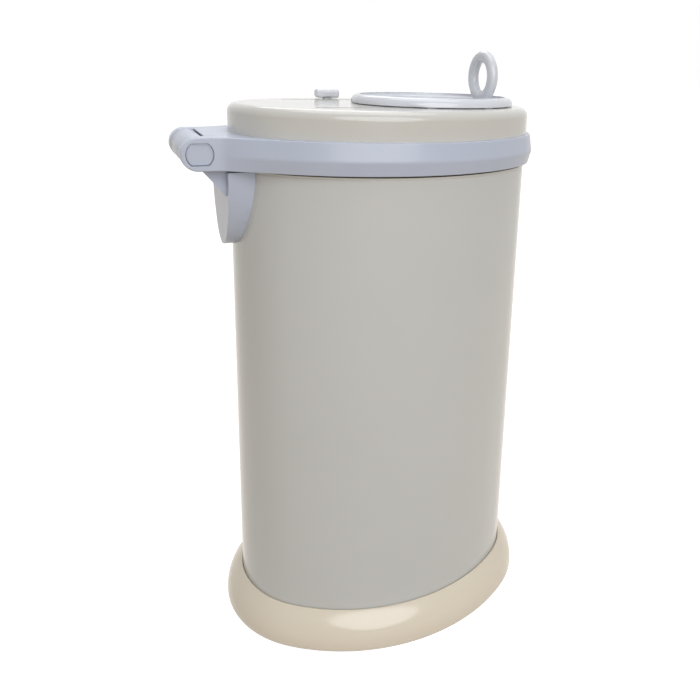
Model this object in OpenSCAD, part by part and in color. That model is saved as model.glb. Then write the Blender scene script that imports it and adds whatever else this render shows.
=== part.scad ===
// Oval steel nappy bin with a hinged lid, a sliding door in the lid, a child lock and a lift-out bag ring.
// The body's centre line is the origin of every shape; at_bin() moves it so that the whole bin is centred.
// +X is the door handle's end, -X the hinge, +Z up.

/* [Body] */
// Length of the steel body
body_length = 233.6; // [210:0.4:260]
// Width of the steel body
body_width = 170.6; // [150:0.4:190]
// Height of the steel sheet
steel_height = 363.4; // [250:0.2:420]
// Thickness of the steel sheet
steel_wall = 0.8; // [0.6:0.1:1.2]

/* [Base] */
// How far the foot pads stand below the skirt
foot_show = 1.5; // [1:0.1:3]
// Radius of a foot pad
foot_radius = 9; // [6:0.5:12]
// Thickness of a foot pad
foot_thick = 3; // [2.5:0.1:4]
// Height of the flared skirt
skirt_height = 29.9; // [24:0.1:40]
// How far the skirt stands out from the body at its widest
skirt_spread = 13.3; // [8:0.1:18]
// Height of the widest place above the skirt's lower edge
skirt_widest = 4.8; // [3:0.1:8]
// How far the skirt's lower edge is tucked in under its widest place
skirt_tuck = 2.5; // [1.5:0.1:4]
// Radius of the skirt's rounded top edge
skirt_nose = 0.9; // [0.6:0.1:1.2]
// Wall of the skirt
skirt_wall = 2.4; // [2:0.1:3]
// Height of the base plate's underside above the skirt's lower edge
plate_rise = 3; // [2:0.1:4]
// Thickness of the base plate
plate_thick = 2.5; // [2:0.1:4]
// Thickness of the floor pan
pan_thick = 2.5; // [2:0.1:4]
// Height of the floor pan's rim
pan_rim = 11; // [8:0.5:16]

/* [Collar and bag ring] */
// Wall of the collar inside the steel
collar_wall = 2.5; // [2:0.1:3]
// Depth of the collar below the steel's top edge
collar_depth = 18; // [15:0.5:24]
// Thickness of the collar's flange on the steel's edge
collar_flange = 1.5; // [1.2:0.1:2.5]
// Width of the collar's ledge
ledge_width = 8.5; // [7:0.1:10]
// Thickness of the collar's ledge
ledge_thick = 2.5; // [2:0.1:3.5]
// Width of the rubber seal
seal_width = 1.3; // [1:0.1:1.5]
// Height of the bag ring
bag_ring_height = 10.8; // [8:0.1:10.8]
// Wall of the bag ring
bag_ring_wall = 2.6; // [2:0.1:3]
// Width of a pull tab on the bag ring
tab_width = 26; // [18:1:40]

/* [Lid] */
// Gap between the collar and the lid band
lid_gap = 1.5; // [1:0.1:2.5]
// Height of the lid band
band_height = 22.4; // [20:0.1:26]
// How far the band's lower edge stands out from the body
band_foot = 3.5; // [2:0.1:4]
// How far the band's crease stands out from the body
band_bulge = 6; // [5:0.1:8]
// Height of the crease above the band's lower edge
crease_height = 9.6; // [7:0.1:12]
// How far the band's top edge stands out from the body
band_brow = 3.9; // [3:0.1:4.5]
// Radius of the band's rear shoulders
shoulder_r = 167; // [155:0.5:180]
// Radius of the hollow where a shoulder turns into its arm
hollow_r = 21; // [15:0.5:22]
// How far the lid shell stands out from the body
shell_out = 0.9; // [0.5:0.1:1.5]
// Height of the lid shell above the band
shell_show = 20.2; // [19:0.1:26]
// Wall of the lid shell
shell_wall = 2.4; // [2:0.1:2.8]
// Radius of the lid shell's rounded edge
edge_radius = 6.6; // [4:0.1:8]
// Height of the liner's plate above the band's lower edge
liner_rise = 11.6; // [10:0.1:13]
// Thickness of the liner's plate
liner_thick = 3; // [2:0.1:3.5]
// Width of the liner's rim
liner_rim = 4.1; // [3:0.1:5]
// Thickness of the band's clamping flange
flange_thick = 2; // [1.5:0.1:3]

/* [Hinge] */
// Distance of the hinge axis behind the body
hinge_reach = 27.6; // [25:0.1:32]
// Gap between the lid's arms
arm_gap = 55.4; // [48:0.2:60]
// Width of one arm
arm_width = 12; // [12:0.1:14]
// Radius of the hinge barrel
barrel_radius = 10.9; // [10.2:0.1:11]
// Radius of the hinge pin
pin_radius = 3; // [2:0.1:3.2]
// Width of the bracket's tongue at its top
tongue_width = 72.4; // [64:0.4:80]
// Depth of the tongue below the collar
tongue_depth = 57; // [50:0.5:70]
// How far the tongue stands behind the body
tongue_out = 8.2; // [6:0.1:9]

/* [Buttons] */
// Diameter of a button
button_size = 17.8; // [17.4:0.1:19]
// Distance between a button's flats
button_flats = 14.2; // [13:0.1:15.5]
// Distance of a button's centre in front of the hinge axis
button_ahead = 1.1; // [0.8:0.1:1.5]
// Travel of a button
button_travel = 3; // [2:0.1:3]
// Groove around a button
button_groove = 0.3; // [0.3:0.05:0.4]
// Radius of the spring's wire
wire_radius = 0.35; // [0.3:0.05:0.4]

/* [Door] */
// Length of the sliding door
door_length = 130.4; // [124:0.2:134]
// Width of the sliding door
door_width = 112; // [106:0.5:114]
// Thickness of the door's plate
door_plate = 2.4; // [2.4:0.1:3]
// Height of the door's rim
door_height = 6.5; // [6:0.1:8]
// Radius of the door's rounded outer edge
door_edge = 5.6; // [4:0.1:5.8]
// Distance of the door's front end behind the body's front
door_inset = 10; // [8:0.1:12]
// Travel of the door
door_travel = 82; // [70:1:83]
// Length of the drop opening
drop_length = 72; // [60:1:73]
// Width of the drop opening
drop_width = 80; // [76:1:81]
// Distance of the drop opening's front behind the door's front end
drop_inset = 6.8; // [6.5:0.1:10]
// Wall of the drop chute
chute_wall = 2.4; // [2:0.1:2.5]
// Outer radius of the ring handle
ring_radius = 20.5; // [19.8:0.1:22]
// Radius of the ring handle's hole
ring_hole = 11; // [10:0.1:12]
// Thickness of the ring handle
ring_thick = 8; // [7:0.1:9]
// Width of the ring handle's neck
neck_width = 25; // [20:0.5:27]
// Distance of the ring handle behind the door's front end
ring_inset = 20.9; // [20:0.1:26]
// Height of the ring's centre above the door's plate
ring_rise = 19; // [17:0.1:19.4]

/* [Door runners] */
// Distance of a runner's middle from the centre line
runner_y = 48; // [48:0.1:48.5]
// Width of a door leg
leg_width = 4.2; // [3.8:0.1:4.6]
// Length of a door leg
leg_length = 7; // [6:0.5:8]
// Side clearance of a leg in its slot
slot_gap = 0.4; // [0.3:0.05:0.6]
// Height of a runner
runner_height = 5.2; // [4.5:0.1:5.5]

/* [Child lock] */
// Length of the knob
knob_length = 20; // [16:0.5:22]
// Width of the knob
knob_width = 10; // [8:0.5:11]
// Height of the knob
knob_height = 7; // [5:0.5:9]
// Distance of the knob behind the body's middle
knob_back = 24.8; // [22:0.2:26]
// Gap between the locked knob and the open door
knob_clear = 1; // [0.5:0.1:1.5]
// Travel of the knob
lock_travel = 5; // [4:0.1:5]

/* [Screws] */
// Radius of the large screws
screw_radius = 2; // [1.8:0.05:2.1]
// Radius of the small screws
small_radius = 1.2; // [1:0.05:1.25]
// Clearance around a screw in its thread
thread_gap = 0.05; // [0.02:0.01:0.1]
// Clearance around a screw where it passes through
pass_gap = 0.25; // [0.15:0.05:0.3]

/* [Fits] */
// Gap between pieces that move past each other
move_gap = 0.3; // [0.3:0.05:0.5]
// Gap between fixed pieces that fit into each other
seat_gap = 0.15; // [0.1:0.05:0.2]
// Radial gap of the hinge pin in the bushes
pin_gap = 0.05; // [0.02:0.01:0.1]
// Radial gap of the hinge pin in the barrel
press_gap = 0.02; // [0.01:0.01:0.03]

/* [Hidden] */
$fn = 72;

steel_colour = [0.76, 0.73, 0.68];
cream = [0.87, 0.83, 0.75];
blue_white = [0.80, 0.83, 0.88];
white = [0.86, 0.88, 0.91];
black_rubber = [0.2, 0.2, 0.2];
zinc = [0.72, 0.73, 0.75];

// Heights, from the floor up.
plate_z = foot_show + plate_rise;
steel_z = plate_z + plate_thick;
body_top = steel_z + steel_height;
collar_top = body_top + collar_flange;
ledge_top = body_top - collar_depth + ledge_thick;
band_z = collar_top + lid_gap;
band_top = band_z + band_height;
hinge_z = band_z + band_height / 2;
liner_z = band_z + liner_rise;
liner_top = liner_z + liner_thick;
shell_z = liner_top + flange_thick;
lid_top = band_top + shell_show;
lid_under = lid_top - shell_wall;
door_gap = 0.5;
door_z = lid_top + door_gap;
dish_z = door_z + door_plate;
ring_z = dish_z + ring_rise;

// Half sizes of the body's oval, and the whole bin's place.
long_half = body_length / 2;
short_half = body_width / 2;
hinge_x = -long_half - hinge_reach;
arm_radius = band_height / 2;
front_x = long_half + skirt_spread;
origin_x = -(front_x + hinge_x - arm_radius) / 2;

// A cutter's spare length past the face it cuts, and a reach past everything.
spare = 1;
reach = 400;
tall = 600;

module at_bin() {
    translate([origin_x, 0, 0]) children();
}

// An oval is four arcs whose centres form 3-4-5 triangles, so each arc runs into the next without a corner.
// Its sizes are whole hundredths and its directions whole numbers, so that the arcs meet exactly.
function hundredth(size) = round(100 * size) / 100;
function oval_unit(a, b) = hundredth((a - b) / 2);
junction = [300, 400];
stretch = ceil(body_length / 200);

// The children between two directions from the local origin, the second one anticlockwise of the first.
module between(from, to) {
    intersection() {
        children();
        translate([0, 0, -spare]) linear_extrude(tall) polygon([[0, 0], stretch * from, stretch * to]);
    }
}

function across(v) = [-v[0], v[1]];

// A profile of distance outside an oval against height, carried around the oval.
module oval_end(a, b) {
    u = oval_unit(a, b);
    translate([3 * u, 0, 0]) between([junction[0], -junction[1]], junction)
        rotate_extrude() translate([hundredth(b) - u, 0]) children();
}

module oval_ring(a, b) {
    u = oval_unit(a, b);
    for (turn = [0, 180]) rotate([0, 0, turn]) {
        oval_end(a, b) children();
        translate([0, -4 * u, 0]) between(junction, across(junction))
            rotate_extrude() translate([hundredth(b) + 4 * u, 0]) children();
    }
}

module body_ring() {
    oval_ring(long_half, short_half) children();
}

// The filled plan of an oval. A taller one is the same oval, turned.
module oval_plan(a, b) {
    if (a < b) {
        rotate([0, 0, 90]) oval_plan(b, a);
    } else {
        u = oval_unit(a, b);
        w = hundredth(b);
        for (side = [-1, 1]) translate([3 * u * side, 0]) circle(r = w - u);
        intersection() {
            translate([0, -4 * u]) circle(r = w + 4 * u);
            translate([0, 4 * u]) circle(r = w + 4 * u);
            square([2 * (3 * u + 0.6 * (w - u)), 3 * w], center = true);
        }
    }
}

module body_plan(out) {
    oval_plan(long_half + out, short_half + out);
}

module body_slab(out, z, thick) {
    translate([0, 0, z]) linear_extrude(thick) body_plan(out);
}

// An upright wall around the body's oval, between two distances from the steel's outer face.
module body_wall(out, in, z, height) {
    translate([0, 0, z]) linear_extrude(height) difference() {
        body_plan(out);
        body_plan(in);
    }
}

// A rod along X or Y from its first face.
module rod_x(r, h) {
    rotate([0, 90, 0]) cylinder(r = r, h = h);
}

module rod_y(r, h) {
    rotate([-90, 0, 0]) cylinder(r = r, h = h);
}

module at_each(places) {
    for (p = places) translate([p[0], p[1], 0]) children();
}

// A screw that points up, its head's underside at z = 0.
head_width = 1.9;
head_depth = 1.1;
head_sink = 1.4;

module screw(r, h) {
    cylinder(r = r, h = h);
    translate([0, 0, -head_depth * r]) cylinder(r = head_width * r, h = head_depth * r);
}

// Screw and foot places, as parts of the body's half sizes.
function four(x, y) = [for (i = [-1, 1], j = [-1, 1]) [i * x, j * y]];
base_places = concat(four(0.4 * long_half, 0.73 * short_half), [[0.79 * long_half, 0], [-0.79 * long_half, 0]]);
foot_places = four(0.69 * long_half, 0.53 * short_half);
lid_places = [for (place = [[0.836, 0.42], [-0.872, 0.344], [0, 0.85]], side = [-1, 1])
    [place[0] * long_half, side * place[1] * short_half]];

/* ---- base ---- */

module body_shell() {
    color(steel_colour) at_bin() difference() {
        body_wall(0, -steel_wall, steel_z, steel_height);
        bracket_holes(screw_radius + pass_gap);
    }
}

// The flare is one arc that stands upright at the widest place and runs into the rounded top edge.
// The tuck under it is a smaller arc from the same place.
widest_z = foot_show + skirt_widest;
nose = [seat_gap + skirt_nose, foot_show + skirt_height - skirt_nose];
flare_run = skirt_spread - nose[0];
flare_rise = nose[1] - widest_z;
flare_radius = (flare_run * flare_run + flare_rise * flare_rise - skirt_nose * skirt_nose)
    / (2 * (flare_run - skirt_nose));
flare_centre = [skirt_spread - flare_radius, widest_z];
nose_line = flare_centre + 1.2 * flare_radius / (flare_radius - skirt_nose) * (nose - flare_centre);
tuck_radius = (skirt_tuck * skirt_tuck + skirt_widest * skirt_widest) / (2 * skirt_tuck);

module skirt_outline(inset, from) {
    intersection() {
        translate(flare_centre) circle(r = flare_radius - inset);
        polygon([[from, widest_z], [reach, widest_z], [reach, nose_line[1]], nose_line, nose, [from, nose[1]]]);
    }
    intersection() {
        union() {
            translate([skirt_spread - tuck_radius, widest_z]) circle(r = tuck_radius - inset);
            translate([from, 0]) square([skirt_spread - tuck_radius - from, reach]);
        }
        translate([from, foot_show - inset]) square([skirt_spread, skirt_widest + inset]);
    }
}

module base_skirt() {
    color(cream) at_bin() {
        body_ring() difference() {
            union() {
                skirt_outline(0, seat_gap);
                translate(nose) circle(r = skirt_nose);
            }
            intersection() {
                skirt_outline(skirt_wall, seat_gap);
                translate([seat_gap + skirt_wall, 0]) square([skirt_spread, nose[1] - skirt_wall]);
            }
            translate([seat_gap - spare, 0]) square([skirt_wall + 2 * spare, plate_z]);
        }
        difference() {
            union() {
                body_slab(seat_gap + spare, plate_z, plate_thick);
                at_each(foot_places) translate([0, 0, foot_thick])
                    cylinder(r = foot_radius + 1.5, h = plate_z - foot_thick + plate_thick / 2);
            }
            at_each(base_places) translate([0, 0, plate_z - spare])
                cylinder(r = screw_radius + pass_gap, h = plate_thick + 2 * spare);
            at_each(foot_places) translate([0, 0, foot_thick - spare])
                cylinder(r = foot_radius / 3 + seat_gap, h = plate_z + plate_thick - foot_thick + 2 * spare);
        }
    }
}

module base_floor() {
    color(cream) at_bin() difference() {
        union() {
            body_slab(-steel_wall - seat_gap, steel_z, pan_thick);
            body_wall(-steel_wall - seat_gap, -steel_wall - seat_gap - pan_thick, steel_z, pan_rim);
            at_each(base_places) translate([0, 0, steel_z]) cylinder(r = 2.5 * screw_radius, h = pan_rim);
        }
        at_each(base_places) translate([0, 0, steel_z - spare])
            cylinder(r = screw_radius + thread_gap, h = spare + 0.8 * pan_rim);
        at_each(foot_places) translate([0, 0, steel_z - spare])
            cylinder(r = foot_radius / 3 + 2 * seat_gap, h = pan_thick / 2 + spare);
    }
}

module base_screws() {
    color(zinc) at_bin() at_each(base_places) translate([0, 0, plate_z])
        screw(screw_radius, plate_thick + 0.75 * pan_rim);
}

module foot_pads() {
    color(black_rubber) at_bin() at_each(foot_places) {
        cylinder(r = foot_radius, h = foot_thick);
        cylinder(r = foot_radius / 3, h = steel_z + pan_thick / 5);
    }
}

/* ---- collar and bag ring ---- */

collar_in = -steel_wall - seat_gap - collar_wall;
collar_edge = collar_in - ledge_width;
seal_depth = 0.7;
seal_in = -steel_wall - seat_gap - seal_width / 2 - 0.6;

module top_collar() {
    color(cream) at_bin() difference() {
        union() {
            body_wall(collar_in + collar_wall, collar_in, body_top - collar_depth, collar_depth);
            body_wall(0, collar_in, body_top, collar_flange);
            body_wall(collar_in + spare, collar_edge, ledge_top - ledge_thick, ledge_thick);
        }
        body_wall(seal_in + seal_width, seal_in, collar_top - seal_depth, reach);
    }
}

module collar_seal() {
    color(black_rubber) at_bin()
        body_wall(seal_in + seal_width, seal_in, collar_top - seal_depth, lid_gap - move_gap + seal_depth);
}

ring_out = collar_in - 0.7;
ring_base = ledge_top + move_gap;

module bag_ring() {
    flange = 2.2;
    inner = collar_edge + 0.5;
    color(white) at_bin() {
        body_wall(ring_out, ring_out - bag_ring_wall, ring_base, bag_ring_height);
        body_wall(ring_out, inner, ring_base, flange);
        intersection() {
            body_wall(ring_out - bag_ring_wall / 2, inner + bag_ring_wall, ring_base + flange / 2,
                0.7 * bag_ring_height);
            translate([-tab_width / 2, -reach, 0]) cube([tab_width, 2 * reach, tall]);
        }
    }
}

/* ---- hinge ---- */

tongue_rear = -long_half - tongue_out;
tongue_top = band_z - 1.9;
fixing_z = tongue_top - 0.62 * tongue_depth;
knee_z = tongue_top - 18;
bracket_places = four(0.235 * tongue_width, 0.16 * tongue_depth);
bracket_grip = 4;
barrel_half = arm_gap / 2 - 0.5;
neck_half = barrel_half - move_gap;
arm_out = arm_gap / 2 + arm_width;

// Bracket screw holes along X, through the tongue, the steel and the plate.
module bracket_holes(r) {
    for (p = bracket_places) translate([tongue_rear + bracket_grip - 1, p[0], fixing_z + p[1]])
        rod_x(r, 3 * tongue_out);
}

module hinge_bracket() {
    color(blue_white) at_bin() difference() {
        union() {
            difference() {
                translate([tongue_rear, 0, 0]) rotate([90, 0, 90]) linear_extrude(4 * tongue_out) intersection() {
                    translate([0, tongue_top]) rotate([0, 0, 90]) oval_plan(tongue_depth, tongue_width / 2);
                    translate([-tongue_width, 0]) square([2 * tongue_width, tongue_top]);
                }
                body_slab(seat_gap / 2, tongue_top - 2 * tongue_depth, 3 * tongue_depth);
            }
            translate([0, neck_half, 0]) rotate([90, 0, 0]) linear_extrude(2 * neck_half)
                polygon([[tongue_rear, knee_z], [tongue_rear + 4, knee_z - 4], [tongue_rear + 7, tongue_top],
                    [hinge_x + barrel_radius - 0.6, tongue_top], [hinge_x + barrel_radius - 2, hinge_z],
                    [hinge_x - 4, hinge_z], [hinge_x - 4, hinge_z - barrel_radius + 1],
                    [hinge_x + 3, hinge_z - barrel_radius - 1]]);
            translate([hinge_x, -barrel_half, hinge_z]) rod_y(barrel_radius, 2 * barrel_half);
        }
        translate([hinge_x, -barrel_half - spare, hinge_z])
            rod_y(pin_radius + press_gap, 2 * (barrel_half + spare));
        bracket_holes(screw_radius + thread_gap);
        for (side = [-1, 1]) translate([hinge_x, side * barrel_half, hinge_z]) rotate([90, 0, 0]) difference() {
            cylinder(r = peg_orbit + peg_radius + move_gap, h = 2 * (button_travel + 0.2), center = true);
            cylinder(r = peg_orbit - peg_radius - move_gap, h = 3 * (button_travel + 0.2), center = true);
        }
    }
}

// The plate inside the steel follows the oval at its back and is flat in front.
plate_face = -long_half + 11;
plate_height = tongue_depth / 2;
plate_half = 0.345 * tongue_width;

module bracket_plate() {
    color(zinc) at_bin() difference() {
        intersection() {
            body_slab(-steel_wall - seat_gap, fixing_z - plate_height / 2, plate_height);
            translate([plate_face - plate_half, -plate_half, 0]) cube([plate_half, 2 * plate_half, tall]);
        }
        bracket_holes(screw_radius + pass_gap);
    }
}

module bracket_screws() {
    color(zinc) at_bin() for (p = bracket_places)
        translate([plate_face, p[0], fixing_z + p[1]]) rotate([0, -90, 0])
            screw(screw_radius, plate_face - tongue_rear - bracket_grip);
}

module hinge_pin() {
    color(zinc) at_bin() translate([hinge_x, -arm_gap / 2 - 2.5, hinge_z]) rod_y(pin_radius, arm_gap + 5);
}

/* ---- buttons in the arms ---- */

button_x = hinge_x + button_ahead;
button_r = button_size / 2;
pocket_r = button_r + button_groove + 0.2;
face_wall = 2.5;
bush_thick = 3;
peg_orbit = 7.2;
peg_radius = 1.2;
cup_radius = 5.2;
flange_y = arm_out - face_wall - move_gap;
bush_y = arm_gap / 2 + 0.1 + bush_thick;

// Round with a flat above and below, its centre at the local origin, along +Y.
module button_bar(grow, h) {
    rotate([-90, 0, 0]) linear_extrude(h) intersection() {
        circle(r = button_r + grow);
        square([button_size * 2, button_flats + 2 * grow], center = true);
    }
}

// The children on the near side (-Y) or mirrored to the far side.
module on_side(far) {
    mirror([0, far ? 0 : 1, 0]) children();
}

module peg_places(r, y, h) {
    for (up = [-1, 1]) translate([hinge_x, y, hinge_z + up * peg_orbit]) rod_y(r, h);
}

module arm_cuts() {
    for (far = [false, true]) on_side(far) {
        translate([button_x, arm_gap / 2 - spare, hinge_z]) rod_y(pocket_r, arm_width - face_wall + spare);
        translate([button_x, arm_out - face_wall - spare, hinge_z]) button_bar(button_groove, face_wall + 3 * spare);
    }
}

module hinge_bush(far) {
    color(white) at_bin() on_side(far) difference() {
        translate([button_x, arm_gap / 2 + 0.1, hinge_z]) rod_y(pocket_r - 0.05, bush_thick);
        translate([hinge_x, 0, hinge_z]) rod_y(pin_radius + pin_gap, arm_out);
        peg_places(peg_radius + move_gap, 0, arm_out);
    }
}

module hinge_button(far) {
    color(blue_white) at_bin() on_side(far) {
        difference() {
            union() {
                translate([button_x, flange_y - 1, hinge_z]) button_bar(0, arm_out - flange_y + 1);
                translate([button_x, flange_y - 2, hinge_z]) rod_y(button_r - 0.05, 2);
            }
            translate([button_x, flange_y - 2 - spare, hinge_z])
                rod_y(cup_radius, arm_out - 1.5 - flange_y + 2 + spare);
        }
        peg_places(peg_radius, arm_gap / 2 + 0.5, flange_y - 1.5 - arm_gap / 2 - 0.5);
    }
}

// A coil of half turns, each tilted so that it ends where the next begins.
module coil(radius, wire, length, turns) {
    pitch = (length - 2 * wire) / turns;
    tilt = asin(pitch / (4 * radius));
    for (i = [0 : 2 * turns - 1]) translate([0, 0, wire + pitch * (i + 0.5) / 2])
        rotate([0, i % 2 == 0 ? tilt : -tilt, 0]) mirror([0, i % 2, 0])
            rotate_extrude(angle = 180) translate([radius, 0]) circle(r = wire, $fn = 16);
}

module button_spring(far) {
    spring_length = arm_out - 1.5 - bush_y - 0.1;
    color(zinc) at_bin() on_side(far) translate([button_x, bush_y + 0.05, hinge_z]) rotate([-90, 0, 0])
        coil(cup_radius - 3 * wire_radius, wire_radius, spring_length, 4);
}

/* ---- lid band, shell and liner ---- */

// The band's creased section, from the shell's side outwards.
module band_profile() {
    polygon([[shell_out, band_z], [band_foot, band_z], [band_bulge, band_z + crease_height],
        [band_brow, band_top], [shell_out, band_top]]);
}

// Behind the middle each side leaves the oval along a flat arc, a straight run and a hollow arc into its arm.
lean = [527, 336];
lean_unit = lean / 625;
lean_angle = atan2(lean[1], lean[0]);
shoulder_c = short_half - shoulder_r;
arm_ref = arm_out - (band_bulge + band_foot) / 2;
run_length = (shoulder_c + lean_unit[0] * (shoulder_r + hollow_r) - hollow_r - arm_ref) / lean_unit[1];
web_rear = barrel_radius + 1.3;
web_step = barrel_radius + 1;
hollow_x = -lean_unit[0] * run_length - lean_unit[1] * (shoulder_r + hollow_r);

// A point of that route at a distance outside it.
function shoulder_at(angle, out) = [-(shoulder_r + out) * sin(angle), shoulder_c + (shoulder_r + out) * cos(angle)];

module band_side() {
    translate([0, shoulder_c, 0]) between([0, lean[0]], [-lean[1], lean[0]])
        rotate_extrude() translate([shoulder_r, 0]) band_profile();
    translate([0, shoulder_c, 0]) rotate([0, 0, lean_angle]) {
        translate([-run_length, shoulder_r, 0]) rotate([90, 0, 90]) linear_extrude(run_length) band_profile();
        translate([-run_length, shoulder_r + hollow_r, 0]) between([-lean[1], -lean[0]], [0, -lean[0]])
            rotate_extrude() translate([hollow_r, 0]) mirror([1, 0]) band_profile();
    }
}

// The flat deck between the oval and the side routes, with the arms' roots and the web that joins them.
// The web's rear edge lies over the hinge barrel.
module deck_plan() {
    out = 2;
    shoulder_points = [for (i = [0 : 4]) shoulder_at(lean_angle * i / 4, out)];
    difference() {
        union() {
            for (far = [0, 1]) mirror([0, far]) polygon(concat([[0, 0]], shoulder_points,
                [[hollow_x + lean_unit[1] * hollow_r, arm_ref + (1 - lean_unit[0]) * hollow_r]
                    + out * [-lean_unit[1], lean_unit[0]],
                 [hollow_x, arm_ref + out], [hinge_x, arm_ref + out], [hinge_x, arm_gap / 2],
                 [-long_half, arm_gap / 2]]));
            translate([hinge_x, -arm_gap / 2]) square([hinge_reach + 10, arm_gap]);
        }
        body_plan(shell_out);
    }
}

module lid_band() {
    unit = oval_unit(long_half, short_half);
    color(blue_white) at_bin() difference() {
        union() {
            oval_end(long_half, short_half) band_profile();
            for (far = [0, 1]) mirror([0, far, 0]) {
                translate([0, -4 * unit, 0]) between(junction, [0, junction[1]])
                    rotate_extrude() translate([hundredth(short_half) + 4 * unit, 0]) band_profile();
                band_side();
                translate([0, arm_out, 0]) rotate([90, 0, 0]) linear_extrude(arm_width) {
                    translate([hinge_x, hinge_z]) circle(r = arm_radius);
                    translate([hinge_x, band_z]) square([hollow_x - hinge_x, band_height]);
                }
            }
            difference() {
                translate([0, 0, band_z]) linear_extrude(band_height) deck_plan();
                translate([hinge_x, arm_gap / 2, hinge_z]) rotate([90, 0, 0]) linear_extrude(arm_gap) polygon([
                    [-arm_radius, -2 * arm_radius], [web_rear, -2 * arm_radius], [web_rear, 0],
                    web_step * [cos(30), sin(30)], web_step * [cos(60), sin(60)],
                    [web_step * cos(60), 2 * arm_radius], [-arm_radius, 2 * arm_radius]]);
            }
            translate([0, 0, liner_top]) linear_extrude(flange_thick) difference() {
                body_plan(shell_out + seat_gap);
                body_plan(shell_out - shell_wall);
            }
        }
        arm_cuts();
    }
}

module edge_profile() {
    mid = shell_out - edge_radius;
    edge_z = lid_top - edge_radius;
    translate([shell_out - shell_wall, shell_z]) square([shell_wall, edge_z - shell_z]);
    intersection() {
        difference() {
            translate([mid, edge_z]) circle(r = edge_radius);
            translate([mid, edge_z]) circle(r = edge_radius - shell_wall);
        }
        translate([mid, edge_z]) square(2 * edge_radius);
    }
}

door_front = long_half - door_inset;
door_mid = door_front - door_length / 2;
drop_mid = door_front - drop_inset - drop_length / 2;
leg_spacing = 0.35 * door_length;
leg_places = [for (x = [-1, 1], side = [-1, 1]) [door_mid + x * leg_spacing / 2, side * runner_y]];
slot_rear = door_mid - (leg_spacing + leg_length) / 2 - 1 - door_travel;
knob_y = door_width / 2 + knob_clear + knob_width / 2 + lock_travel;
stem_size = 6;
guide_places = [[-knob_back - 14, knob_y - 1], [-knob_back + 9, knob_y + 9]];

module drop_plan(out) {
    translate([drop_mid, 0]) oval_plan(drop_length / 2 + out, drop_width / 2 + out);
}

module lid_shell() {
    color(cream) at_bin() difference() {
        union() {
            body_ring() edge_profile();
            body_slab(shell_out - edge_radius, lid_under, shell_wall);
            intersection() {
                at_each(lid_places) translate([0, 0, liner_top]) cylinder(r = 4, h = lid_under - liner_top + 0.5);
                body_slab(shell_out - shell_wall, liner_top, lid_top - edge_radius - liner_top);
            }
            at_each(lid_places) translate([0, 0, lid_top - edge_radius])
                cylinder(r = 3.2, h = edge_radius - shell_wall + 0.5);
            at_each(guide_places) translate([0, 0, guide_top]) cylinder(r = 3.4, h = lid_under - guide_top + 0.5);
        }
        translate([0, 0, lid_under - spare]) linear_extrude(shell_wall + 2 * spare) {
            drop_plan(0);
            for (side = [-1, 1])
                translate([slot_rear, side * runner_y - leg_width / 2 - slot_gap])
                    square([door_travel + leg_spacing + leg_length + 2, leg_width + 2 * slot_gap]);
            translate([-knob_back - stem_size / 2 - slot_gap, knob_y - lock_travel - stem_size / 2 - slot_gap])
                square([stem_size + 2 * slot_gap, stem_size + lock_travel + 2 * slot_gap]);
        }
        translate([0, 0, lid_top - 1.4]) linear_extrude(1.4 + spare) difference() {
            drop_plan(3.2);
            drop_plan(0.8);
        }
        at_each(lid_places) translate([0, 0, liner_top - spare])
            cylinder(r = screw_radius + thread_gap, h = lid_grip + 2 * spare);
        at_each(guide_places) translate([0, 0, guide_top - spare]) cylinder(r = small_radius + thread_gap, h = 5);
    }
}

module door_seal() {
    color(black_rubber) at_bin() translate([0, 0, lid_top - 1.4]) linear_extrude(1.4 + door_gap - move_gap)
        difference() {
            drop_plan(3.2);
            drop_plan(0.8);
        }
}

module lid_liner() {
    color(white) at_bin() difference() {
        union() {
            body_slab(shell_out - 0.2, liner_z, liner_thick);
            body_ring() translate([shell_out - 0.2 - liner_rim, band_z]) square([liner_rim, liner_rise + 1]);
            translate([0, 0, chute_z]) linear_extrude(lid_under - move_gap - chute_z) drop_plan(chute_wall);
        }
        translate([0, 0, chute_z - spare]) linear_extrude(lid_under - chute_z + spare) drop_plan(0);
        at_each(lid_places) translate([0, 0, liner_z - spare])
            cylinder(r = screw_radius + pass_gap, h = liner_thick + 2 * spare);
        at_each(rail_places) translate([0, 0, liner_z - spare])
            cylinder(r = small_radius + pass_gap, h = liner_thick + 2 * spare);
    }
}

chute_z = band_z - 7.4;
lid_grip = 14;

module lid_screws() {
    color(zinc) at_bin() at_each(lid_places) translate([0, 0, liner_z]) screw(screw_radius, liner_thick + lid_grip);
}

/* ---- door, rails and carriage ---- */

runner_width = 7.7;
runner_in = runner_y - runner_width / 2 + 0.3;
runner_out = runner_in + runner_width;
runner_top = lid_under - 4.7;
runner_z = runner_top - runner_height;
rail_in = runner_out + 0.4;
rail_wall = 2.8;
rail_half = 70;
rail_foot = 9.4;
rail_places = [for (x = [-55, 55], side = [-1, 1]) [x, side * (rail_in + rail_foot - 3.5)]];
lug_out = 4.2;
lug_length = 6;
bar_width = 14;
bar_x = drop_mid - drop_length / 2 - chute_wall - move_gap - bar_width - 13.3;
runner_length = door_mid + (leg_spacing + leg_length) / 2 + 2 - bar_x;
lug_x = bar_x + 10;
web_top = runner_top - 1.3;
leg_grip = 5;
rail_grip = 5.5;

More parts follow.
